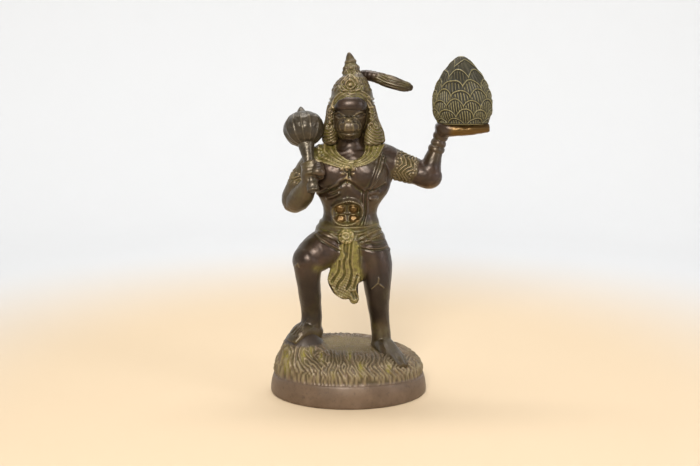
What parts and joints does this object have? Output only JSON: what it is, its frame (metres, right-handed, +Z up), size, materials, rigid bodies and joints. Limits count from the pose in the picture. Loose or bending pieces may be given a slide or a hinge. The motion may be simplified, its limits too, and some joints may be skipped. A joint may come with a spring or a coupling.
{
  "type": "hanuman figure",
  "caption": "Cast brass statue of a monkey-headed hero on an oval mound, one foot raised, a mace on the shoulder and a mountain on the lifted palm.",
  "frame": {"origin": "centre of the plinth's underside", "axes": "+Z up through the figure, -Y the side the figure faces, +X towards the lifted hand with the mountain"},
  "size_m": [0.1818, 0.104, 0.2809],
  "materials": {
    "patinated_brass": "dark brown patina, olive residue in the carving, rubbed bright on the high points"
  },
  "bodies": {
    "root": {"hanuman_figure": "patinated_brass"}
  },
  "joints": []
}
